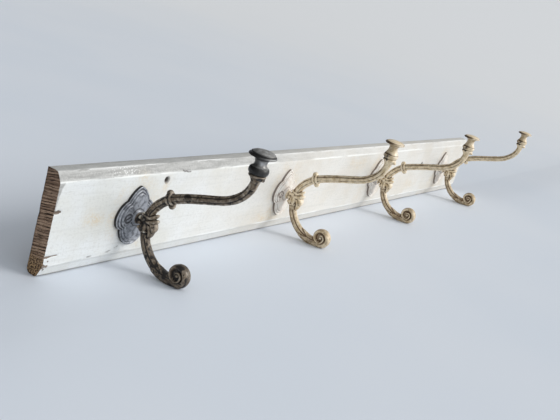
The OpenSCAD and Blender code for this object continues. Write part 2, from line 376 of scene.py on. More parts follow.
class Nodes:
    """A node tree. Three numbers in a tuple are an sRGB colour of 0 to 255."""

    def __init__(self, tree):
        self.tree = tree
        tree.nodes.clear()

    def feed(self, socket, value):
        if isinstance(value, bpy.types.NodeSocket):
            self.tree.links.new(value, socket)
        else:
            socket.default_value = linear(*value) if isinstance(value, tuple) else value

    def node(self, kind, inputs=None, **settings):
        """A new node with its settings, and with values or other nodes' outputs for its inputs."""
        n = self.tree.nodes.new("ShaderNode" + kind)
        for name, value in settings.items():
            setattr(n, name, value)
        for name, value in (inputs or {}).items():
            self.feed(n.inputs[name], value)
        return n

    def ramp(self, value, low, high, out_low=0.0, out_high=1.0):
        span = {"Value": value, "From Min": low, "From Max": high, "To Min": out_low, "To Max": out_high}
        return self.node("MapRange", span, interpolation_type="SMOOTHSTEP").outputs["Result"]


class Paint(Nodes):
    """A material's node tree, with one short call for each kind of node."""

    def __init__(self, name):
        self.material = bpy.data.materials.new(name)
        self.material.use_nodes = True
        super().__init__(self.material.node_tree)
        self.shader = self.node("BsdfPrincipled")
        self.node("OutputMaterial", {"Surface": self.shader.outputs[0]})
        self.place = self.node("TexCoord").outputs["Object"]

    def scaled(self, x, y, z, place=None):
        values = {"Vector": place or self.place, "Scale": Vector((x, y, z))}
        return self.node("Mapping", values).outputs[0]

    def turned(self, angle):
        """The place turned round the board's length by an angle in degrees."""
        values = {"Vector": self.place, "Rotation": Vector((math.radians(angle), 0, 0))}
        return self.node("Mapping", values).outputs[0]

    def noise(self, scale, detail=4.0, rough=0.55, place=None, distortion=0.0):
        values = {"Scale": scale, "Detail": detail, "Roughness": rough, "Distortion": distortion}
        return self.node("TexNoise", {"Vector": place or self.place, **values}).outputs["Fac"]

    def waves(self, scale, distortion, place):
        """Wavy bands across the third direction."""
        values = {"Vector": place, "Scale": scale, "Distortion": distortion}
        return self.node("TexWave", values, bands_direction="Z").outputs["Fac"]

    def read(self, name):
        return self.node("Attribute", attribute_name=name).outputs["Fac"]

    def times(self, a, b):
        return self.node("Math", {0: a, 1: b}, operation="MULTIPLY").outputs[0]

    def plus(self, a, b):
        return self.node("Math", {0: a, 1: b}, operation="ADD").outputs[0]

    def mix(self, share, a, b):
        return self.node("Mix", {"Factor": share, "A": a, "B": b}, data_type="RGBA").outputs["Result"]

    def over(self, color, *layers):
        """The colour with layers of (share, colour) over it."""
        for share, layer in layers:
            color = self.mix(share, color, layer)
        return color

    def bumps(self, *layers):
        """The normal after layers of (height, strength, distance)."""
        values = {}
        for values["Height"], values["Strength"], values["Distance"] in layers:
            values["Normal"] = self.node("Bump", values).outputs["Normal"]
        return values["Normal"]

    def set(self, **values):
        for name, value in values.items():
            self.feed(self.shader.inputs[name.replace("_", " ")], value)
        return self.material


# The growth lines on the board's ends slope up to the front by this many degrees.
GRAIN_SLOPE = 13.8


def board_material():
    """Old white gloss on wood: brush lines along the board, rusty stains, and wood where it has worn. Upward faces
    are greyer with dust and painted shade, the arrises carry a painted highlight, a painted glint lies near the left
    end, and the cracks' dark colour also serves as painted shade in the wall holes and as a painted contact shadow
    along the bottom edge.
    """
    p = Paint("old_white_paint")
    brush = p.noise(430, 5, 0.6, p.scaled(0.03, 1, 1))
    fine = p.noise(1300, 3, 0.6, p.scaled(0.04, 1, 1))
    streak = p.noise(300, 4, 0.7, p.scaled(0.12, 1, 1))
    cloud = p.noise(26, 4, 0.5)
    speck = p.noise(520, 2, 0.5)
    white = p.over(
        p.mix(p.ramp(cloud, 0.35, 0.7), (224, 226, 226), (218, 218, 213)),
        (p.read("warm"), p.mix(p.ramp(cloud, 0.35, 0.7), (224, 221, 215), (218, 212, 202))),
        (p.ramp(brush, 0.52, 0.7, 0, 0.22), (192, 191, 186)),
        (p.ramp(p.noise(330, 3, 0.6), 0.5, 0.66, 0, 0.3), (196, 195, 191)),
        (p.ramp(fine, 0.55, 0.72, 0, 0.25), (190, 188, 183)))
    grey = p.over(
        p.mix(p.ramp(streak, 0.4, 0.62), (156, 155, 152), (178, 177, 174)),
        (p.ramp(speck, 0.5, 0.64, 0, 0.35), (200, 198, 195)))
    rust = p.times(p.read("stain"), p.ramp(cloud, 0.3, 0.62, 0.15, 0.8))
    color = p.over(
        white,
        (p.read("dust"), grey),
        (p.times(rust, p.ramp(speck, 0.42, 0.6, 0.25, 1.0)), (214, 190, 148)),
        (p.times(p.read("glitter"), p.ramp(speck, 0.56, 0.6)), (252, 252, 250)),
        (p.times(p.read("bright"), p.ramp(streak, 0.36, 0.5)), (246, 246, 243)),
        (p.ramp(p.plus(p.read("worn"), p.times(speck, 0.35)), 0.55, 0.72),
         p.mix(p.ramp(brush, 0.35, 0.65), (136, 122, 110), (94, 78, 66))),
        (p.read("crack"), (62, 50, 40)))
    shape = p.bumps((brush, 0.35, 0.0005), (fine, 0.3, 0.0003), (speck, 0.22, 0.0006))
    gloss = p.ramp(brush, 0.3, 0.7, 0.42, 0.6)
    return p.set(Base_Color=color, Roughness=gloss, Normal=shape, Specular_IOR_Level=0.35)


def end_grain_material():
    """The board's sawn ends: uneven growth lines across the thickness, with open pores."""
    p = Paint("brown_end_grain")
    across = p.turned(GRAIN_SLOPE)
    lines = p.noise(560, 2, 0.5, p.scaled(1, 0.05, 1, across), 0.08)
    rings = p.waves(115, 5.0, p.scaled(1, 0.35, 1, across))
    thin = p.waves(310, 7.0, p.scaled(1, 0.3, 1, across))
    pores = p.noise(1100, 2, 0.6)
    coarse = p.noise(640, 2, 0.6)
    color = p.over(
        p.mix(p.ramp(lines, 0.4, 0.6), (130, 104, 85), (190, 160, 135)),
        (p.ramp(thin, 0.6, 0.95, 0, 0.5), (80, 62, 51)),
        (p.times(p.ramp(rings, 0.55, 0.9), p.ramp(p.noise(130, 2, 0.5), 0.38, 0.6, 0.25, 0.95)), (30, 20, 14)),
        (p.ramp(p.noise(60, 4, 0.55), 0.5, 0.68, 0, 0.3), (122, 101, 87)),
        (p.ramp(pores, 0.58, 0.64, 0, 0.6), (36, 27, 21)),
        (p.read("gold"), p.mix(p.ramp(coarse, 0.46, 0.54), (178, 146, 108), (46, 32, 23))),
        (p.read("crack"), (20, 15, 11)))
    shape = p.bumps((lines, 0.5, 0.0006), (pores, 0.4, 0.0004))
    return p.set(Base_Color=color, Roughness=0.78, Normal=shape, Specular_IOR_Level=0.2)


def bare_back_material():
    """The unpainted back: planed brown wood with long grain and some white paint over the edges."""
    p = Paint("bare_back_wood")
    grain = p.noise(140, 5, 0.6, p.scaled(0.03, 1, 1), 0.6)
    streak = p.noise(620, 3, 0.6, p.scaled(0.02, 1, 1))
    color = p.over(
        p.mix(p.ramp(grain, 0.35, 0.68), (158, 126, 92), (112, 82, 56)),
        (p.ramp(streak, 0.55, 0.7, 0, 0.7), (74, 52, 36)),
        (p.ramp(p.noise(14, 3, 0.5), 0.5, 0.75, 0, 0.5), (120, 104, 88)),
        (p.ramp(p.plus(p.read("overpaint"), p.times(grain, 0.5)), 0.72, 0.82), (224, 221, 212)))
    shape = p.bumps((grain, 0.4, 0.0005), (streak, 0.3, 0.0003))
    return p.set(Base_Color=color, Roughness=0.72, Normal=shape, Specular_IOR_Level=0.25)


def metal_skin(name, flat, ridge, hollow, patch, rough, metallic, grain, patch_size, bump=0.25,
               fleck=(212, 208, 192)):
    """A worn metal or painted surface. Ridges are painted lighter, as wear and as painted highlight; hollows and
    shaded sides are painted darker, as dirt and as painted shade.
    """
    p = Paint(name)
    mottle = p.noise(patch_size, 5, 0.6)
    fine = p.noise(grain, 4, 0.6)
    color = p.over(
        p.mix(p.ramp(mottle, 0.42, 0.64), flat, patch),
        (p.ramp(fine, 0.52, 0.74, 0, 0.28), hollow),
        (p.times(p.read("ridge"), p.ramp(mottle, 0.3, 0.6, 1.0, 0.45)), ridge),
        (p.read("hollow"), hollow),
        (p.read("fleck"), fleck))
    shape = p.bumps((fine, bump, 0.0003), (mottle, bump, 0.0005))
    gloss = p.ramp(mottle, 0.35, 0.65, rough, min(1.0, rough + 0.16))
    return p.set(Base_Color=color, Roughness=gloss, Metallic=metallic, Normal=shape)


def steel_material():
    """Plain steel with fine turned lines, for studs."""
    p = Paint("plain_steel")
    lines = p.noise(2500, 2, 0.5, p.scaled(1, 1, 0.1))
    color = p.mix(p.ramp(lines, 0.4, 0.65), (150, 150, 150), (112, 110, 108))
    gloss = p.ramp(lines, 0.3, 0.7, 0.3, 0.5)
    return p.set(Base_Color=color, Roughness=gloss, Metallic=1.0, Normal=p.bumps((lines, 0.2, 0.0001)))


def floor_material():
    p = Paint("pale_floor")
    # Painted light: far off, the floor is painted lighter.
    color = p.over(
        p.mix(p.ramp(p.noise(3, 2, 0.5), 0.35, 0.65), (217, 223, 232), (220, 225, 233)),
        (p.read("far"), (232, 233, 235)))
    return p.set(Base_Color=color, Roughness=0.55, Specular_IOR_Level=0.25)


MATERIALS = {
    "board": board_material(),
    "end_grain": end_grain_material(),
    "back": bare_back_material(),
    "plate_iron": metal_skin(
        "blue_grey_steel", (160, 163, 170), (216, 216, 218), (34, 33, 34), (108, 110, 116),
        rough=0.42, metallic=0.3, grain=700, patch_size=230),
    "plate_painted": metal_skin(
        "rubbed_cream_paint", (240, 235, 227), (248, 243, 238), (96, 76, 62), (226, 216, 206),
        rough=0.5, metallic=0.0, grain=800, patch_size=150),
    "casting_iron": metal_skin(
        "brown_cast_iron", (124, 108, 88), (190, 178, 162), (22, 15, 10), (84, 68, 52),
        rough=0.36, metallic=0.15, grain=650, patch_size=260, bump=0.4),
    "casting_painted": metal_skin(
        "tan_cream_paint", (240, 221, 189), (246, 236, 222), (92, 66, 36), (206, 182, 142),
        rough=0.34, metallic=0.05, grain=700, patch_size=190, fleck=(26, 19, 12)),
    "knob_iron": metal_skin(
        "handled_dark_iron", (128, 125, 120), (202, 203, 204), (26, 24, 22), (98, 95, 92),
        rough=0.32, metallic=0.25, grain=600, patch_size=230),
    "screw_iron": metal_skin(
        "dull_screw_steel", (150, 152, 158), (222, 222, 224), (24, 24, 26), (112, 114, 120),
        rough=0.4, metallic=0.3, grain=900, patch_size=300),
    "stud": steel_material()
}


# ---------------------------------------------------------------- the board

ROUND_R = 5.0
TOP_BEVEL = (5.5, 8.5)
BOTTOM_BEVEL = (5.5, 12.5)
# The bevels' arrises, from the top down, as [z, y].
ARRISES = [
    (TOP, FRONT + TOP_BEVEL[0]), (TOP - TOP_BEVEL[1], FRONT),
    (LOW + BOTTOM_BEVEL[1], FRONT), (LOW, FRONT + BOTTOM_BEVEL[0])
]
ARRIS_R = 1.0
WALL_HOLE_R, WALL_SINK_R, PILOT_R = 2.25, 4.0, 1.8
# Marks on the board, each at [along, up] in millimetres from its middle.
LEFT_CHIP = (-501.0, 13.8)
WIDE_CRACK = [(-505.5, -28.8), (-486.5, -28.0)]
THIN_CRACK = [
    (-461.0, -37.3), (-452.0, -37.0), (-444.3, -36.9), (-435.0, -36.2), (-425.6, -35.1), (-419.0, -33.4),
    (-414.5, -31.0)
]
BEVEL_SCRATCH = [(-343.5, 42.8), (-340.5, 41.2), (-337.5, 41.6), (-334.5, 40.4), (-330.5, 40.6)]
# Stains, each with its width and height after its place.
STAINS = [
    (-402.0, 36.0, 9.0, 8.0), (-456.0, 2.0, 13.0, 9.0), (-426.0, -10.0, 7.0, 12.0), (-365.5, 30.0, 5.0, 9.0),
    (-372.0, -10.0, 10.0, 22.0), (-160.0, -32.0, 24.0, 10.0), (-135.0, 33.0, 20.0, 12.0),
    (-105.0, -4.0, 9.0, 20.0), (96.0, -22.0, 18.0, 14.0), (60.0, 30.0, 30.0, 10.0), (150.0, 20.0, 14.0, 16.0),
    (380.0, -10.0, 14.0, 20.0), (280.0, -20.0, 26.0, 10.0)
]
# Splits in the ends' grain, as [height, depth].
SPLITS = [(7.5, 1.0), (4.0, 0.9), (-16.0, 0.5), (28.0, 0.4)]


def board_outline():
    """The section of the board as [y, z] in millimetres, with close points on the front."""
    sharp = [(BACK, TOP)] + [(y, z) for z, y in ARRISES]
    turn = np.radians(np.arange(-90, 1, 15))[:, None]
    round_back = [BACK - ROUND_R, LOW + ROUND_R] + ROUND_R * np.hstack([np.cos(turn), np.sin(turn)])
    corners = np.vstack([sharp, round_back])
    points = []
    for k, p in enumerate(corners):
        if k >= len(sharp):
            points.append(p)
            continue
        before, after = corners[k - 1] - p, corners[k + 1] - p
        before /= np.linalg.norm(before)
        after /= np.linalg.norm(after)
        points += [p + ARRIS_R * (before * (1 - t) ** 2 + after * t ** 2) for t in np.linspace(0, 1, 4)]
    fine = []
    for k, p in enumerate(points):
        q = points[(k + 1) % len(points)]
        on_face = abs(p[0] - FRONT) < 0.6 and abs(q[0] - FRONT) < 0.6
        on_back = abs(p[0] - BACK) < 0.1 and abs(q[0] - BACK) < 0.1
        step = 5.0 if on_back else 1.0 if on_face else 1.6
        pieces = max(1, int(np.linalg.norm(q - p) / step))
        fine += [p + (q - p) * s / pieces for s in range(pieces)]
    return np.array(fine)


def board_stations():
    """Places along the board, closer together at the near end."""
    x = [LEFT]
    while x[-1] < RIGHT:
        into = x[-1] - LEFT
        x.append(x[-1] + (0.7 if into < 30 else 1.2 if into < 190 else 2.4))
    x[-1] = RIGHT
    if x[-1] - x[-2] < 0.5:
        x.pop(-2)
    return x


def distance_to_line(x, z, line):
    """The distance from each point to a line of [along, up] points."""
    best = np.full(len(x), 1e9)
    for (ax, az), (bx, bz) in zip(line[:-1], line[1:]):
        t = ((x - ax) * (bx - ax) + (z - az) * (bz - az)) / ((bx - ax) ** 2 + (bz - az) ** 2)
        t = np.clip(t, 0, 1)
        best = np.minimum(best, np.hypot(x - ax - t * (bx - ax), z - az - t * (bz - az)))
    return best


def drill(profile, at, turns):
    """A hole's shape from [radius, distance from the board's back], round a place on the board."""
    points, faces = lathe(profile, (0, 0, 0), turns, "out")
    return (points * [1, -1, 1] + [at[0], 0, at[2]]) * MM, faces


def drill_board(board):
    """Cuts the two wall holes with their sinks, and a blind hole for each screw."""
    thick = -FRONT
    sink = WALL_SINK_R - WALL_HOLE_R
    wall_hole = [(WALL_HOLE_R, -1), (WALL_HOLE_R, thick - sink), (WALL_SINK_R, thick), (WALL_SINK_R, thick + 1)]
    holes = [drill(wall_hole, at, 40) for at in WALL_HOLES]
    for node in sorted(n for n in frame["nodes"] if n.startswith("screw_")):
        low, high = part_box(node)
        tip = -high.y / MM
        holes.append(drill([(PILOT_R, tip - 1), (PILOT_R, thick + 1)], np.array(low + high) / 2 / MM, 16))
    cut(board, holes)


def make_board():
    outline = board_outline()
    cols = len(outline)
    middle = np.column_stack([np.full(cols, (FRONT + BACK) / 2), np.clip(outline[:, 1], LOW + 9, TOP - 9)])
    shares = [0.04] + [k / 8 for k in range(1, 8)]
    rings = [(LEFT, s) for s in shares] + [(x, 1) for x in board_stations()] + [(RIGHT, s) for s in shares[::-1]]
    points = np.vstack([np.column_stack([np.full(cols, x), middle + (outline - middle) * s]) for x, s in rings])
    board = mesh_object("painted_board", points * MM, closed_faces(len(rings), cols))
    drill_board(board)

    co, no = coordinates(board) / MM, normals(board)
    x, y, z = co.T
    facing_up = no[:, 2]
    from_left = x - LEFT
    from_end = np.minimum(from_left, RIGHT - x)
    on_end = np.abs(no[:, 0]) > 0.7
    on_front = no[:, 1] < -0.8
    forward = y < FRONT + 3
    from_hole = np.min([np.hypot(x - at[0], z - at[2]) for at in WALL_HOLES], axis=0)

    # Soft waves over the whole surface, and worn arrises. The ends' are broken more deeply.
    wave = 0.12 * noise(co * [0.25, 1, 1], 9, 1) + 0.05 * noise(co * [0.2, 1, 1], 2.5, 2)
    arris = np.zeros(len(x))
    for az, ay in ARRISES:
        broken = ease(0.25, 0.8, noise(co * [0.5, 1, 1], 5, 3 + int(abs(az))))
        arris = np.maximum(arris, bell(np.hypot(z - az, y - ay), 1.3) * broken)
    end_edge = bell(from_end, 1.8) * ease(-0.1, 0.7, noise(co, 3.2, 9)) * ~on_end
    shift = -no * (wave * 0.6 + 0.1 + arris * 0.55 + end_edge * 0.3)[:, None]
    chip_away = np.hypot((x - LEFT_CHIP[0]) / 4.6, (z - LEFT_CHIP[1]) / 2.0)
    chip = ease(1.15, 0.6, chip_away + 0.25 * noise(co, 2.0, 11)) * forward
    # Cracks: a wide one that opens at the left end, a thin one by the bottom bevel, a scratch.
    share = np.clip((x - WIDE_CRACK[0][0]) / (WIDE_CRACK[1][0] - WIDE_CRACK[0][0]), 0, 1)
    from_wide = distance_to_line(x, z + 0.5 * noise(co, 6, 12), WIDE_CRACK)
    wide_crack = ease(1.0, 0.35, from_wide / (1.7 - 1.2 * share)) * forward
    from_thin = distance_to_line(x, z + 0.5 * noise(co, 5, 13), THIN_CRACK)
    thin_crack = ease(0.9, 0.3, from_thin) * on_front * ease(-0.9, 0.1, noise(co, 7, 14))
    scratch = ease(0.9, 0.35, distance_to_line(x, z, BEVEL_SCRATCH)) * forward
    shift[:, 1] += chip * 1.1 + wide_crack + thin_crack * 0.4 + scratch * 0.3
    # The ends' grain stands up between the growth lines, and is split open.
    grain_z = z + y * math.tan(math.radians(GRAIN_SLOPE))
    lines = np.sin(grain_z * 2.8 + 2.4 * noise(co, 7, 15) + 1.2 * noise(co, 2.5, 16))
    split_z = grain_z - 1.1 * noise(co, 6, 17)
    splits = np.max([depth * bell(split_z - level, 0.6) for level, depth in SPLITS], axis=0)
    sunk = 0.18 + 0.08 * lines + 0.5 * splits + 0.08 * noise(co, 1.5, 18)
    shift[:, 0] += np.where(on_end, np.where(x < 0, sunk, -sunk), 0)
    shift[from_hole < 4.6] = 0
    co = np.clip(co + shift, [LEFT, FRONT, LOW], [RIGHT, BACK, TOP])
    set_coordinates(board, co * MM)

    # Upward faces are painted greyer: dust, and painted shade, as less light falls from above; less so towards the
    # far end. So are a band along the left end, and a line of painted shade under the bottom bevel's arris.
    far = ease(-330, 50, x)
    on_top = ease(0.8, 0.95, facing_up)
    dust = ease(0.15, 0.5, facing_up) * (1.0 - 0.72 * far) * (1 - on_top) + on_top * (0.8 - 0.55 * far)
    band_w = 5.2 * np.clip((z - 12) / 29, 0, 1) ** 3 + 1.5
    band = ease(band_w + 0.4, band_w - 0.4, from_left + 0.5 * noise(co, 4, 29)) * (z > 13) * (z < TOP - 7)
    under_arris = bell(z - LOW - BOTTOM_BEVEL[1] + 1.6, 1.1) * 0.4 * (y < FRONT + 4)
    dust = np.maximum(dust, np.maximum(band, under_arris))
    # Painted highlight along the bevels' arrises.
    bright = np.zeros(len(x))
    for (az, ay), share in zip(ARRISES, (0.9, 0.9, 1.0)):
        bright = np.maximum(bright, bell(np.hypot(z - az, y - ay), 0.9) * share)
    # Stains, with one round each backplate.
    stain = np.zeros(len(x))
    for sx, sz, wide, high in STAINS:
        stain = np.maximum(stain, bell(np.hypot((x - sx) / wide, (z - sz) / high)))
    for hook in HOOKS:
        away = np.hypot((x - hook.x / MM) / (hook.half_w + 4), (z + 1) / (hook.plate_up + 4))
        stain = np.maximum(stain, 0.75 * ease(1.35, 0.95, away))
    worn = 0.9 * end_edge + chip + 0.9 * wide_crack + 0.5 * arris * ease(0.3, 0.8, noise(co, 8, 22))
    corner = bell(from_left, 7.0) * bell(z + 36, 10.0) * ease(-0.1, 0.7, noise(co, 2.2, 23))
    # Dark marks: dirt in the cracks, the splits and the scratch, painted shade in the wall holes, a painted contact
    # shadow along the bottom edge, and darker lines at the back edge and the top of the ends.
    under_edge = ease(LOW + 1.5, LOW + 0.5, z) * (0.65 + 0.25 * noise(co * [0.2, 1, 1], 7, 25))
    back_line = ease(-1.8, -0.4, y) * 0.5 + ease(TOP - 9, TOP, z) * 0.55
    dirt = np.max([
        thin_crack * 0.7 * ease(-0.3, 0.5, noise(co, 3.5, 24)) + scratch * 0.85,
        under_edge,
        splits * on_end * 0.9 * ease(-0.6, 0.2, noise(co, 4, 26)),
        back_line * on_end * (0.6 + 0.4 * noise(co, 3, 19)),
        0.22 * (from_hole < 4.2) + 0.6 * (from_hole < 2.6)], axis=0)
    from_edge = np.minimum(np.minimum(TOP - z, z - LOW), from_end)
    paint(
        board,
        warm=ease(-450, -100, x),
        dust=dust + 0.35 * ease(-5, 0, y) * on_top * (1 - 0.6 * far),
        bright=bright * ease(-0.7, 0.1, noise(co * [0.12, 1, 1], 6, 27)),
        stain=stain * (0.5 + 0.5 * noise(co, 11, 21)) * on_front * 0.9,
        # Painted glint on upward faces near the left end.
        glitter=0.55 * bell(x + 424, 16) * ease(0.2, 0.5, facing_up) * (z < TOP - 0.5),
        worn=worn + corner * 1.1,
        crack=dirt,
        gold=ease(LOW + 26, LOW + 8, z + 5 * noise(co, 8, 28)) * 0.9,
        overpaint=ease(9, 0, from_edge) * 0.6 + 0.12)

    finish_piece(board, "board", "board", "board_paint")
    board.data.materials.append(MATERIALS["end_grain"])
    board.data.materials.append(MATERIALS["back"])
    for face in board.data.polygons:
        if abs(face.normal.x) > 0.75 and abs(face.center.x) > BOARD_HIGH.x - 2.5 * MM:
            face.material_index = 1
        elif face.normal.y > 0.8:
            face.material_index = 2


# ---------------------------------------------------------------- backplates

# The right half of the plate's outline, from tip to foot, with width and heights of 1.
PLATE_CURVES = [
    [(0, 1), (0.22, 0.96), (0.42, 0.76), (0.55, 0.53)],
    [(0.55, 0.53), (0.74, 0.49), (1, 0.24), (1, -0.03)],
    [(1, -0.03), (1, -0.22), (0.88, -0.38), (0.70, -0.40)],
    [(0.70, -0.40), (0.66, -0.66), (0.40, -1), (0, -1)]
]
SHEET_T = 1.3
FIELD_INSET = 8.6
FIELD_RINGS = 20
BOSS_FOOT_R, BOSS_TOP_R, BOSS_H = 8.7, 6.5, 2.2
TENON_R = 3.05
SCREW_OUT = 12.5
# Heights of the pressed rims over the plate, as [inset from the edge, height].
RIMS = [
    (0, 0), (0, 1.2), (0, 2.4), (0.2, 2.8), (0.7, 3.05), (1.4, 3.0), (2.0, 2.55), (2.5, 2.1), (2.9, 2.15),
    (3.15, 2.9), (3.45, 3.5), (3.95, 3.75), (4.6, 3.7), (5.2, 3.35), (5.7, 3.05), (6.0, 3.25), (6.25, 4.2),
    (6.65, 4.85), (7.3, 5.0), (7.9, 4.85), (8.3, 4.7)
]


def make_plate(hook):
    half = chain(PLATE_CURVES, 20)
    unit = np.vstack([half, half[1:-1][::-1] * [-1, 1]])
    cols = len(unit)
    angle = np.arctan2(unit[:, 1] * hook.plate_up, unit[:, 0] * hook.half_w)

    def edge_ring(inset):
        tall = np.where(unit[:, 1] > 0, hook.plate_up - inset, hook.plate_down - inset)
        return np.column_stack([unit[:, 0] * (hook.half_w - inset), unit[:, 1] * tall])

    def round_ring(r):
        return np.column_stack([r * np.cos(angle), r * np.sin(angle)])

    boss, field = hook.boss_d, hook.boss_d - BOSS_H
    rings = [(edge_ring(s), h) for s, h in RIMS]
    for t in np.arange(1, FIELD_RINGS + 1) / FIELD_RINGS:
        rings.append((edge_ring(FIELD_INSET) * (1 - t) + round_ring(BOSS_FOOT_R) * t, field))
    front = [
        (8.2, field + 0.45), (7.3, field + 1.5), (BOSS_TOP_R, boss - 0.1), (BOSS_TOP_R - 0.7, boss), (TENON_R, boss)
    ]
    rings += [(round_ring(r), h) for r, h in front]
    front_rows = len(rings)
    # The hollow back, one sheet's thickness behind the front.
    behind = [(TENON_R, boss), (BOSS_TOP_R - SHEET_T, boss), (BOSS_FOOT_R - SHEET_T * 0.6, field)]
    rings += [(round_ring(r), h - SHEET_T) for r, h in behind]
    rings += [(edge_ring(s + SHEET_T), h - SHEET_T) for s, h in ((6.6, field), (6.2, 3.2), (3.2, 3.2), (3.1, 1.6))]
    rings += [(edge_ring(1.0), 0.3), (edge_ring(0.9), 0.0)]
    points = np.vstack([np.column_stack([flat[:, 0], np.full(cols, h), flat[:, 1]]) for flat, h in rings])
    row = np.repeat(np.arange(len(rings)), cols)
    # A low pressed ring round each screw, and unevenness all over the front.
    on_field = (row >= len(RIMS)) & (row < len(RIMS) + FIELD_RINGS)
    from_screw = np.hypot(np.abs(points[:, 0]) - SCREW_OUT, points[:, 2])
    points[:, 1] += np.where(on_field, 0.5 * bell(from_screw - 5.9, 0.7), 0)
    wobble = 0.14 * noise(points, 6, 31 + hook.number) + 0.06 * noise(points, 2.2, 41 + hook.number)
    points[:, 1] += np.where((row < front_rows) & (points[:, 1] > 0.5), wobble, 0)
    points[:, 1] = np.clip(points[:, 1], 0, boss)
    plate = hook.make("pressed_plate", (points, grid_faces(len(rings), cols, wrap_rows=True)))
    sink = [(PILOT_R, -2), (PILOT_R, field - 2.25), (4.05, field), (4.05, field + 4)]
    hook.cut(plate, *(lathe(sink, (side * SCREW_OUT, 0, 0), 36, "out") for side in SIDES))

    bend, broad = hollowness(plate, 2), hollowness(plate, 8)
    local = hook.local(plate)
    across, out, up = local.T
    # Painted shade: the side walls are dark, and so are the rings round the screws' heads.
    wall = ease(2.85, 2.5, out) * ease(0.75, 0.3, -normals(plate)[:, 1])
    ring = bell(np.hypot(np.abs(across) - SCREW_OUT, up) - 4.5, 0.55) * (out > 3)
    # Hollows are painted darker, with dirt and painted shade, and the rims lighter, with wear and painted highlight.
    # The lower part of the iron plate is darker in patches, and the boss a little darker.
    on_boss = ease(9.2, 7.4, np.hypot(across, up)) * 0.1
    worn = ease(0.1, 0.6, noise(local * [1, -1, 1], 3.2, 47 + hook.number))
    low_part = ease(4, -14, up) * hook.pick(0.22, 0.0)
    hollow = np.clip(bend * 4.2 + broad * 2.0 - 0.08, 0, 1) * hook.pick(1.0, 0.62)
    paint(
        plate,
        ridge=np.clip(-bend * 1.5, 0, 1) * (1 - 0.35 * worn) * (1 - on_boss),
        hollow=hollow + wall * hook.pick(1.0, 0.8) + ring * 0.75 + low_part * worn + on_boss)
    hook.finish(plate, "backplate")


# ---------------------------------------------------------------- castings

KNOT_OUT = 17.0
ARM_R = 4.85
LOW_ARM_R = 5.0
LOW_BEND_R = 41.0
LOW_BEND_MID = np.array([KNOT_OUT + LOW_BEND_R, 0.5])
SCROLL_MID = np.array([69.5, -32.0])
RING_AT = (38.5, 32.5)
RING_SLOPE = 28.0
STUD_BORE_R = 2.05
# The scroll's band, from the arm's end in to the eye, as
# [turn in degrees, radius of its middle, half its depth, half its width].
SPIRAL = [
    (-112, 8.0, 4.5, 5.2), (-20, 9.15, 2.85, 5.4), (70, 9.1, 2.5, 5.3), (160, 8.5, 2.15, 5.2),
    (250, 6.6, 1.85, 5.0), (340, 4.7, 1.5, 4.8), (430, 3.7, 1.15, 4.6), (480, 2.6, 0.9, 4.4)
]
# The knot's leaves, as [curve of out and up, half-width, half-depth].
PETALS = [
    ([(18, 4.5), (22.0, 6.0), (25.5, 8.2), (29.4, 12.4)], 4.6, 2.1),
    ([(18, 1.5), (23.0, 3.2), (27.0, 3.0), (30.6, 6.8)], 5.6, 2.6),
    ([(21, 3.0), (27.2, 3.4), (29.6, -2.5), (27.4, -6.6)], 5.2, 2.5),
    ([(20, -1.5), (25.6, -1.0), (27.4, -8.0), (23.8, -13.8)], 4.8, 2.4)
]
# Lumps on each side of the knot, as [half the way between the two, out, up, radii].
LUMPS = [
    (4.2, 12.4, 3.8, (2.4, 1.9, 1.9)), (4.2, 15.0, 8.6, (2.4, 1.5, 1.5)), (4.2, 11.8, -1.4, (2.4, 1.7, 1.7)),
    (4.2, 13.0, -6.0, (2.4, 1.8, 1.8)), (4.2, 16.2, 3.4, (2.4, 2.3, 2.3)), (4.9, 19.6, -3.4, (1.9, 2.2, 4.4)),
    (4.7, 16.0, -4.6, (2.0, 1.7, 3.4))
]
# The stem and its tenon in the backplate, as [radius, height over the boss].
STEM = [
    (5.9, 0), (6.0, 0.5), (5.2, 1.0), (4.3, 1.6), (4.1, 2.6), (4.5, 3.4), (5.0, 4.1), (4.9, 5.0), (4.4, 5.8)
]
TENON = [(4.2, -3.1), (4.2, -1.9), (3.0, -1.5), (3.0, 2)]
# The cups under the knobs, as [radius, height over the cup's rim]. A painted cup has a second rim.
CUP = [(3.4, -9.5), (3.9, -8), (4.7, -5.5), (5.6, -3.6), (6.7, -2.3)]
IRON_CUP = CUP + [(7.8, -1.7), (8.0, -1.1), (7.95, -0.4), (7.5, 0)]
PAINTED_CUP = CUP + [
    (7.4, -1.7), (7.6, -1.1), (7.55, -0.4), (7.0, 0.1), (6.8, 0.7), (6.9, 1.2), (7.8, 1.9), (8.3, 2.7),
    (8.5, 4.0), (8.65, 4.6), (8.45, 5.3), (8.1, 5.5)
]
# Old pits in the iron hook's upper arm, as millimetres along the arm and size.
ARM_PITS = [(17.0, 1.0), (22.5, 1.3), (26.0, 0.9), (30.5, 1.2)]
# Light spots in the iron knot, as [across, out, up, size] in millimetres.
WHITE_FLECKS = [(-5.6, 11.6, 4.2, 1.7), (-4.8, 15.4, 9.8, 1.3), (-5.0, 20.6, -8.4, 0.9), (-5.4, 12.4, -6.4, 1.0)]
# Directions in the frame for painted light: faces that turn to the front right get a painted highlight, faces that
# turn to the back and the upper left get painted shade, and so do the knobs' and cups' faces that turn to the back
# left.
RUBBED_WAY = np.array([0.5, -0.84, 0.2])
DIRTY_WAY = np.array([-0.52, 0.62, 0.59])
BACK_LEFT_WAY = np.array([-0.75, 0.64, 0.1])


def upper_route(hook):
    out = hook.knob_out
    return chain([
        [(KNOT_OUT, 0), (KNOT_OUT + 0.5, 11), (24, 23.5), RING_AT],
        [RING_AT, (52, 40), (72, 46.5), (90, 53)],
        [(90, 53), (100, 56.5), (out - 1.2, 66), (out, 85.5)]], 40)


def lower_route():
    angles = np.radians(np.linspace(180, 282, 70))
    return LOW_BEND_MID + LOW_BEND_R * np.column_stack([np.cos(angles), np.sin(angles)])


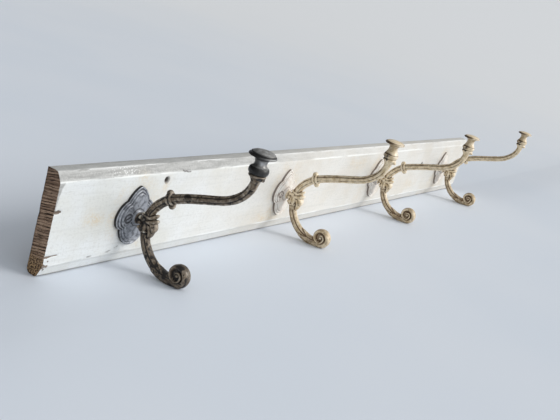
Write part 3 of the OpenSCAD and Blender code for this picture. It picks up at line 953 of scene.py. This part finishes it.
def upper_arm(hook):
    def section(s, a):
        r = ARM_R * (1 - 0.16 * s)
        return r * 0.97, r
    return tube(upper_route(hook), section, 36)


def sheath_start(a):
    """The leaf sheath grows from the scroll back over the arm, with three pointed tongues."""
    return 0.70 - 0.09 * np.cos(3 * (a - math.pi / 2))


def lower_arm():
    def section(s, a):
        r = ARM_R - 0.4 + (LOW_ARM_R - ARM_R + 0.4) * math.sin(math.pi * s ** 1.6)
        start = sheath_start(a)
        r = r + 0.8 * ease(start - 0.012, start + 0.012, s)
        return r, r
    return tube(lower_route(), section, 36)


def along_bar(local, route):
    """For each point near a bar: its share of the route's length, its distance from the bar's middle,
    and its angle round the bar, where 90 degrees is the side that the route's left hand points to."""
    share = np.zeros(len(local))
    off = np.full(len(local), 1e9)
    length = np.r_[0, np.cumsum(np.linalg.norm(np.diff(route, axis=0), axis=1))]
    flat = local[:, 1:]
    for k in range(len(route) - 1):
        step = route[k + 1] - route[k]
        span = np.linalg.norm(step)
        step = step / span
        t = np.clip((flat - route[k]) @ step, 0, span)
        gap = flat - route[k] - t[:, None] * step
        distance = np.hypot(gap[:, 0], gap[:, 1])
        near = distance < np.abs(off)
        side = gap @ np.array([-step[1], step[0]])
        off = np.where(near, np.where(side < 0, -distance, distance), off)
        share = np.where(near, (length[k] + t) / length[-1], share)
    return share, np.hypot(off, local[:, 0]), np.arctan2(off, local[:, 0])


def flute_groove(angle, radius, half=0.75):
    """How deep a point is in one of a bar's four grooves, from 0 on a rib to 1 in the middle of a
    groove. There are two along each side, 30 degrees above and below the middle."""
    off_side = np.abs(np.arcsin(np.clip(np.sin(angle), -1, 1)))
    return bell((off_side - math.radians(30)) * radius, half)


def volute():
    """A band that winds in to a small eye, over a thinner web, so that a deep groove runs between."""
    turn, middle_r, half_deep, half_wide = np.array(SPIRAL, float).T
    steps = np.linspace(turn[0], turn[-1], 150)
    middle = np.interp(steps, turn, middle_r)
    a = np.radians(steps)
    route = SCROLL_MID + np.column_stack([middle * np.cos(a), middle * np.sin(a)])

    def section(s, angle):
        at = turn[0] + s * (turn[-1] - turn[0])
        return np.interp(at, turn, half_wide), np.interp(at, turn, half_deep)
    return [
        tube(route, section, 28),
        lathe([(8.2, -2.0), (9.0, -1.0), (9.0, 1.0), (8.2, 2.0)], (0, *SCROLL_MID), 40, "across"),
        ball((0, *SCROLL_MID), (4.6, 1.9, 1.9))
    ]


def arm_ring():
    """Two beads round the upper arm, with a lump on a short neck on two sides."""
    rim = [(3.5, -3.5)] + bead(5.0, -2.0, 1.3) + bead(5.0, 2.0, 1.3) + [(3.5, 3.5)]
    parts = [lathe(rim, (0, *RING_AT), 40, "out")]
    out, up = RING_AT
    for side in SIDES:
        parts.append(ball((0, out, up + side * 6.2), (3.2, 3.4, 3.0)))
        parts.append(lathe([(3.0, -1), (2.1, 0.4), (2.3, 1.4)], (0, out, up + side * 4.2), 20))
    return [turned(p, RING_SLOPE, RING_AT) for p in parts]


def petal(curve, wide, deep):
    """A smooth lobe along a Bezier curve of [out, up] points, with a round tip."""
    def section(s, a):
        f = math.sqrt(max(0.004, 1 - max(0.0, (s - 0.4) / 0.61) ** 2.6))
        return wide * f, deep * f
    return tube(bezier(curve, 24), section, 28)


def knot():
    """The bunch of leaves where the arms meet, with a collar round the foot of each arm."""
    parts = [ball((0, KNOT_OUT + 1.0, -0.8), (5.6, 6.2, 8.2), 20, 28)] + [petal(*p) for p in PETALS]
    collar = [(3.0, -1.4)] + bead(5.0, 0, 0.9) + [(3.0, 1.4)]
    for at, angle in (((18.0, 7.4), -12), ((17.3, -8.4), 6)):
        parts.append(turned(lathe(collar, (0, *at), 32), angle, at))
    return parts + [ball((side * half, out, up), radii) for side in SIDES for half, out, up, radii in LUMPS]


def stem(hook):
    profile = raised(STEM, hook.boss_d) + [(4.4, KNOT_OUT - 1)]
    return [lathe(profile, (0, 0, 0), 40, "out"), lathe(raised(TENON, hook.boss_d), (0, 0, 0), 32, "out")]


def cup(hook):
    """The cup that the knob stands in, with a small leaf tip under the front of its rim."""
    rim_z = hook.seat - hook.pick(0.0, 5.5)
    profile = raised(hook.pick(IRON_CUP, PAINTED_CUP), rim_z)
    return [lathe(profile, (0, hook.knob_out, 0), 48), ball((0, hook.knob_out + 6.9, rim_z - 2.9), (2.1, 1.9, 1.5))]


def stud_bore(hook, low, high):
    """The hole for the stud, from low to high over the knob's seat."""
    return lathe([(STUD_BORE_R, hook.seat + low), (STUD_BORE_R, hook.seat + high)], (0, hook.knob_out, 0), 24)


def make_casting(hook):
    n, seat = hook.number, hook.seat
    parts = [upper_arm(hook), lower_arm()] + volute() + arm_ring() + knot() + stem(hook) + cup(hook)
    casting = hook.make("hook_casting", joined(parts))
    fuse = casting.modifiers.new("fuse", "REMESH")
    fuse.mode = "VOXEL"
    fuse.voxel_size = hook.pick(0.4, 0.45) * MM
    soften = casting.modifiers.new("soften", "SMOOTH")
    soften.factor = 0.5
    soften.iterations = 2
    applied(casting)
    hook.cut(casting, stud_bore(hook, -9, 2))
    co, no, local = coordinates(casting), normals(casting), hook.local(casting)
    across, out, up = local.T

    # Flutes along both arms, and veins on the sheath.
    route = upper_route(hook)
    share, radius, angle = along_bar(local, route)
    on_arm = ease(6.6, 5.6, radius) * ease(0.055, 0.085, share) * ease(0.955, 0.93, share)
    on_arm = on_arm * ease(3.4, 5.0, np.hypot(out - RING_AT[0], up - RING_AT[1]))
    broken = 0.45 + 0.55 * ease(-0.5, 0.3, noise(local, 7, 57 + n))
    groove = on_arm * flute_groove(angle, radius) * broken
    pits = np.zeros(len(co))
    if hook.iron:
        length = np.sum(np.linalg.norm(np.diff(route, axis=0), axis=1))
        for along, size in ARM_PITS:
            away = np.hypot(share * length - along, (np.abs(angle) - math.radians(150)) * radius)
            pits = np.maximum(pits, on_arm * ease(size, size * 0.4, away) * (across < 0) * (angle > 0))
    share, radius, angle = along_bar(local, lower_route())
    past_start = share - sheath_start(angle)
    low_arm = ease(6.8, 5.8, radius) * ease(0.2, 0.25, share)
    bare = low_arm * ease(0.01, -0.01, past_start)
    groove = np.maximum(groove, bare * flute_groove(angle, radius) * (0.5 + 0.5 * broken))
    veins = low_arm * ease(0.0, 0.03, past_start) * ease(0.98, 0.9, share)
    groove = np.maximum(groove, 0.7 * veins * flute_groove(angle, radius, 0.5))
    edge = low_arm * bell(past_start, 0.012)

    rust = ease(0.45, 0.75, noise(local, 2.6, 51 + n)) * hook.pick(0.3, 0.1)
    rough = 0.07 * noise(local, 1.6, 61 + n) + 0.1 * noise(local, 5.5, 71 + n)
    raise_by = 0.12 + rough - rust - hook.pick(0.7, 0.5) * groove - 0.9 * pits
    set_inside(casting, co + no * (raise_by * MM)[:, None], f"casting_{n}")
    bend, broad = hollowness(casting, 3), hollowness(casting, 14)
    # Painted light: painted shade on faces that turn to the back and the upper left, a painted highlight on faces
    # that turn to the front right, the lower half darker, and painted shade on the back left of the cup.
    shade_side = ease(0.45, 0.95, no @ DIRTY_WAY)
    rub_side = ease(0.45, 0.95, no @ RUBBED_WAY)
    low_half = ease(2, -12, up)
    cup_back = ease(0.35, 0.8, no @ BACK_LEFT_WAY) * ease(seat - 9, seat - 6, up)
    # Darker: dirt and painted shade in the grooves, pits, rust, a dark line along the sheath's edge, and the painted
    # shade on the back left of the cup.
    dirt = hook.pick(0.85, 0.45 + 0.3 * low_half) * groove + pits + 0.5 * edge + rust + 0.7 * cup_back
    if hook.iron:
        by_plate = ease(13.0, 11.6, out)
        in_knot = ease(11, 6, np.hypot(out - 15, up - 1)) * ease(-0.3, 0.5, noise(local, 2.4, 58))
        leaf_tip = ease(2.6, 1.9, np.hypot(out - hook.knob_out - 6.6, up - seat + 3))
        dark = 0.9 * ease(0.0, 0.4, noise(local * [1, 0.6, 0.6], 2.6, 53)) + 0.3 * ease(0, 0.6, noise(local, 9, 54))
        pale = ease(0.15, 0.5, noise(local, 2.2, 55)) * 0.7
        # Lighter: pale spots, and a painted highlight on faces that turn to the front right, less on the lower half.
        rubbed = (pale + 0.6 * rub_side) * (1 - 0.6 * low_half)
        ridge = np.clip(-bend * 1.5 - 0.05 + rubbed, 0, 1) * (1 - groove) * (1 - by_plate)
        # Hollows and the shaded sides are darker, with dirt and painted shade; darker too in random patches, fewer on
        # the lit side, on the lower half, in the knot, at the leaf tip under the cup and near the plate.
        dirt = dirt + 0.3 * shade_side + dark * (1 - rub_side) + 0.58 * low_half + 0.5 * in_knot + leaf_tip
        hollow = bend * 2.2 + broad * 1.6 + dirt + 0.8 * by_plate
        fleck = np.zeros(len(co))
        for *at, size in WHITE_FLECKS:
            away = np.sqrt(np.sum((local - at) ** 2, axis=1)) + 0.5 * noise(local, 1.2, 77)
            fleck = np.maximum(fleck, ease(size, size * 0.6, away))
    else:
        # Lighter: a painted highlight on faces that turn to the front right, less on the lower half.
        rubbed = rub_side * (1.0 - 0.75 * low_half)
        ridge = np.clip(-bend * 1.3 - 0.1 + rubbed, 0, 0.95) * (1 - groove)
        dark = 0.3 * ease(0.1, 0.6, noise(local, 5, 56))
        # Darker: painted shade on the shaded sides, random patches, fewer on the lit side, and the lower half;
        # hollows darker with dirt and painted shade.
        dirt = dirt + (0.4 * shade_side + dark) * (1 - rub_side) + 0.55 * low_half * (1 - 0.35 * rub_side)
        hollow = bend * 1.9 + broad * 1.7 + dirt
        # Black spots on the back left of the cup: painted shade, broken into spots.
        fleck = cup_back * ease(-0.1, 0.4, noise(local, 2.4, 59)) * 0.9
    paint(casting, ridge=ridge, hollow=hollow, fleck=fleck)
    hook.finish(casting, "casting")


# ---------------------------------------------------------------- knobs

# The groove over the cap's rim, as [in from the rim, up from it], for a step of 1.
RIM_GROOVE = [
    (1.1, 0.85), (1.5, 0.9), (1.9, 1.05), (2.1, 1.4), (2.1, 1.8), (1.95, 2.1), (2.1, 2.4), (2.5, 2.65)
]


def knob_profile(hook):
    """[radius, height] from the seat up: a foot, a neck, and a wide cap with a domed top."""
    h, cap, rim = hook.knob_h, hook.cap_r, hook.rim
    neck = hook.pick(5.6, 5.1)
    waist = (neck, rim * 0.62)
    if hook.iron:
        foot = chain([
            [(6.2, 0), (9.9, 0.2), (10.1, 6.3), (7.6, 7.5)],
            [(7.6, 7.5), (6.6, 7.9), (neck, 9.2), waist]], 14)
    else:
        foot = bezier([(8.1, 0), (7.5, 2.2), (neck, 4.0), waist], 16)
    under = bezier([waist, (neck, rim - 2.8), (cap - 4.2, rim - 1.5), (cap - 0.8, rim - 0.9)], 12)[1:]
    edge = bezier([under[-1], (cap + 0.05, rim - 0.6), (cap + 0.05, rim + 0.5), (cap - 0.7, rim + 0.8)], 8)[1:]
    groove = np.array(RIM_GROOVE) * [-hook.step, hook.step] + [cap, rim]
    dome = bezier([groove[-1], (cap * 0.6, h - 0.6), (cap * 0.32, h), (0.05, h)], 12)[1:]
    return np.vstack([foot, under, edge, groove, dome])


def make_knob(hook):
    n, cap, rim, step = hook.number, hook.cap_r, hook.rim, hook.step
    knob = hook.make("turned_knob", lathe(knob_profile(hook), (0, hook.knob_out, hook.seat), 96))
    hook.cut(knob, stud_bore(hook, -1, 10))
    co, no, local = coordinates(knob), normals(knob), hook.local(knob)
    rough = 0.07 * noise(local, 5.0, 81 + n) + 0.03 * noise(local, 1.8, 91 + n)
    set_inside(knob, co + no * (rough * MM)[:, None], f"knob_{n}")
    bend = hollowness(knob, 2)
    height = local[:, 2] - hook.seat
    radius = np.hypot(local[:, 0], local[:, 1] - hook.knob_out)
    # Painted shade under the cap's rim.
    under = ease(rim - 0.4, rim - 1.0, height) * ease(6.0, 8.0, radius) * (height > rim - 4)
    rim_groove = bell(height - rim - 1.3 * step, 0.55 * step) * (radius > cap - 2.6 * step)
    # Painted shade on faces that turn to the back left.
    back_side = ease(0.2, 0.8, no @ BACK_LEFT_WAY)
    if hook.iron:
        # On the iron knob: a mottled painted highlight round the neck; painted light that makes the right side
        # lighter and the left darker; a painted highlight along the rim and on the dome; painted shade on the left of
        # the rim and under the cap. The foot and the groove over the rim are dark.
        mottle = 0.75 + 0.35 * noise(local, 2.0, 85)
        polished = bell(height - 11.8, 2.8) * 0.95 * mottle * (1 - 0.8 * back_side)
        to_right = ease(-4, 8, local[:, 0] + local[:, 1] - hook.knob_out)
        rim_line = bell(radius - cap + 0.5, 0.45) * (height > rim) * (0.3 + 0.4 * to_right)
        dome = ease(0.55, 0.9, no[:, 2]) * (radius < cap - 2.6) * (0.36 + 0.36 * noise(local, 2.6, 86))
        bulb = ease(8.0, 6.5, height) * 0.9
        dark_rim = (radius > cap - 3) * (1 - to_right) * (height > rim - 2) * 0.55
        paint(
            knob,
            ridge=np.clip(-bend * 0.9, 0, 1) * (0.4 + 0.6 * to_right) + polished + rim_line + dome,
            hollow=np.clip(bend * 1.5, 0, 1) + under + bulb + rim_groove + 0.7 * back_side + dark_rim)
    else:
        # On a painted knob: a dark seam at the foot, a darker band at the neck under the cap, the groove over the rim
        # darker, painted shade under the cap and on the back left, black spots where that shade falls, and a painted
        # highlight on faces that turn to the front right.
        seam = ease(1.1, 0.5, height)
        neck_dirt = bell(height - rim + 3.2, 1.3) * 0.4
        dark_back = back_side * (0.2 + 0.9 * (radius > cap - 1.6) + 0.7 * ease(3, 1, height))
        dirt = seam * 0.8 + neck_dirt * 0.4 + under * 0.5 + rim_groove * 0.5 + dark_back
        spots = (radius > cap - 1.2) + ease(2.5, 1, height)
        paint(
            knob,
            ridge=np.clip(-bend * 0.9 - 0.05 + ease(0.2, 0.9, no @ RUBBED_WAY), 0, 1),
            hollow=np.clip(bend * 1.2 + 0.03, 0, 1) + dirt,
            fleck=back_side * spots * ease(-0.2, 0.3, noise(local, 2.5, 87)) * 0.75)
    hook.finish(knob, "knob")


# ---------------------------------------------------------------- screws

THREAD_PITCH = 1.2
THREAD_DEPTH = 0.35
SCREW_R = 1.75
SCREW_TURNS = 28
HEAD_R = 4.0
HEAD_RISE = 0.6
# The slot's floor lies this far under the head's rim.
SLOT_FLOOR = 0.75
BOX_FACES = [(0, 1, 2, 3), (7, 6, 5, 4), (0, 4, 5, 1), (1, 5, 6, 2), (2, 6, 7, 3), (3, 7, 4, 0)]


def make_screw(hook, side):
    name = "left" if side < 0 else "right"
    node = f"screw_{name}_{hook.number}"
    low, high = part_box(node)
    tip, face = (FACE_Y - high.y) / MM, (FACE_Y - low.y) / MM
    rim = face - HEAD_RISE
    neck = rim - (HEAD_R - SCREW_R)
    share = np.linspace(0, 1, SCREW_TURNS, endpoint=False)
    profile = []
    for d in np.arange(tip + 0.1, neck - 0.5, THREAD_PITCH / 8):
        wave = np.abs(((d / THREAD_PITCH - share) % 1.0) * 2 - 1)
        profile.append(((SCREW_R - THREAD_DEPTH * wave) * (0.12 + 0.88 * ease(tip, tip + 3.2, d)), d))
    profile += [
        (SCREW_R - 0.1, neck - 0.3), (SCREW_R, neck), (HEAD_R - 0.05, rim - 0.05), (HEAD_R, rim + 0.05),
        (HEAD_R - 0.15, rim + 0.2)
    ]
    for t in np.linspace(0.08, 1, 8) * math.pi / 2:
        profile.append(((HEAD_R - 0.2) * math.cos(t) + 0.02, rim + 0.2 + 0.4 * math.sin(t)))
    at = np.array([side * SCREW_OUT, 0])
    screw = hook.make(f"slotted_screw_{name}", lathe(profile, (at[0], 0, at[1]), SCREW_TURNS, "out"))
    turn = math.radians(40 + 55 * hook.number + 70 * side)
    slot_way = np.array([math.cos(turn), math.sin(turn)])
    side_way = np.array([-slot_way[1], slot_way[0]])
    corners = []
    for d in (rim - SLOT_FLOOR, face + 1):
        for a, b in ((-6, -0.5), (6, -0.5), (6, 0.5), (-6, 0.5)):
            flat = at + slot_way * a + side_way * b
            corners.append((flat[0], d, flat[1]))
    hook.cut(screw, (corners, BOX_FACES))
    shade(screw, False)
    bend = hollowness(screw, 1)
    local = hook.local(screw)
    out = local[:, 1]
    flat = local[:, [0, 2]] - at
    from_axis = np.hypot(flat[:, 0], flat[:, 1])
    # The slot's floor is painted light; painted shade darkens the rim of the head and the edges of the slot.
    slot_floor = (out < rim - 0.2) & (out > rim - 0.9) & (from_axis < HEAD_R - 0.2)
    slot_edge = ease(1.1, 0.6, np.abs(flat @ side_way)) * (out > rim)
    rim_dirt = ease(HEAD_R - 0.8, HEAD_R - 0.2, from_axis)
    paint(
        screw,
        ridge=np.where(slot_floor, 0.9, np.clip(-bend * 0.3, 0, 0.6)),
        hollow=np.where(slot_floor, 0.0, np.maximum(rim_dirt, 0.6 * slot_edge)))
    hook.finish(screw, "screw", node)


# ---------------------------------------------------------------- floor, light, camera

# The level direction in which the camera looks, as [x, y].
VIEW_WAY = (0.876, 0.483)
# The window is to the right of the rack's front, and not high.
KEY_AZIMUTH, KEY_HEIGHT = math.radians(32), math.radians(30)
KEY_DIRECTION = (
    math.sin(KEY_AZIMUTH) * math.cos(KEY_HEIGHT), -math.cos(KEY_AZIMUTH) * math.cos(KEY_HEIGHT), math.sin(KEY_HEIGHT))
# The room is brightest in front of the rack, and darkest behind it.
ROOM_DIRECTION = (0.1, -0.9, 0.42)


def make_floor():
    """A wide pale floor. Under the rack it rises to the front, because the rack leans back on it:
    it touches the board's bottom edge and the scrolls. Far behind it curves up a little."""
    contact_y = (FRONT + BOTTOM_BEVEL[0]) * MM
    scroll_y = FACE_Y - SCROLL_MID[0] * MM
    lift = (SCROLL_MID[1] - 12.0) * MM - BOARD_LOW.z
    behind = [0.05, 0.2, 1, 2, 3, 4, 5, 7, 10, 15, 22, 30]
    ys = np.concatenate([[-30, -8, -3, -1, -0.5], np.linspace(-0.3, contact_y, 50), behind])
    xs = np.concatenate([[-30, -8, -3, -1, 0], np.arange(1, 12), [14, 18, 24, 30]])

    def height(x, y):
        t = max(0.0, (contact_y - y) / (contact_y - scroll_y))
        if t > 1:
            t = 1 + 0.5 * (1 - math.exp(-(t - 1) / 0.5))
        away = max(0.0, VIEW_WAY[0] * x + VIEW_WAY[1] * y - 3.0)
        return BOARD_LOW.z - 0.0002 + lift * t + 0.16 * away ** 2 / (away + 2.0)

    points = [(x, y, height(x, y)) for y in ys for x in xs]
    floor = mesh_object("floor", points, grid_faces(len(ys), len(xs), wrap_cols=False))
    if floor.data.polygons[0].normal.z < 0:
        floor.data.flip_normals()
    floor.data.materials.append(floor_material())
    # Painted light: how far off the floor is painted lighter.
    paint(floor, far=ease(0.2, 3.0, coordinates(floor)[:, :2] @ np.array(VIEW_WAY)))


def make_light():
    world = bpy.data.worlds.new("soft_room")
    bpy.context.scene.world = world
    world.use_nodes = True
    room = Nodes(world.node_tree)
    place = room.node("TexCoord").outputs["Generated"]
    toward = room.node("VectorMath", {0: place, 1: Vector(ROOM_DIRECTION)}, operation="DOT_PRODUCT")
    strength = room.ramp(toward.outputs["Value"], -0.6, 0.9, 0.06, 0.92)
    back = room.node("Background", {"Color": [0.93, 0.97, 1.0, 1.0], "Strength": strength})
    room.node("OutputWorld", {"Surface": back.outputs[0]})
    key = bpy.data.lights.new("window", "SUN")
    key.energy = 1.85
    key.angle = math.radians(30)
    key.color = (1.0, 0.985, 0.96)
    lamp = bpy.data.objects.new("window", key)
    lamp.rotation_mode = "QUATERNION"
    lamp.rotation_quaternion = Vector(KEY_DIRECTION).to_track_quat("Z", "Y")
    bpy.context.scene.collection.objects.link(lamp)


def make_camera():
    data = bpy.data.cameras.new("camera")
    data.lens = LENS_MM
    data.sensor_width = SENSOR_MM
    data.sensor_fit = "HORIZONTAL"
    data.clip_start = 0.01
    data.clip_end = 100
    camera = bpy.data.objects.new("camera", data)
    turn = Matrix((CAMERA_RIGHT, CAMERA_UP, CAMERA_BACK)).transposed().to_4x4()
    camera.matrix_world = Matrix.Translation(CAMERA_AT) @ turn
    bpy.context.scene.collection.objects.link(camera)
    bpy.context.scene.camera = camera


make_camera()
make_light()
make_floor()
make_board()
for hook in HOOKS:
    make_plate(hook)
    make_casting(hook)
    make_knob(hook)
    for side in SIDES:
        make_screw(hook, side)
    stud = frame["nodes"][f"stud_{hook.number}"]
    stud.data.materials.clear()
    stud.data.materials.append(MATERIALS["stud"])
bpy.context.scene.view_settings.view_transform = "Standard"
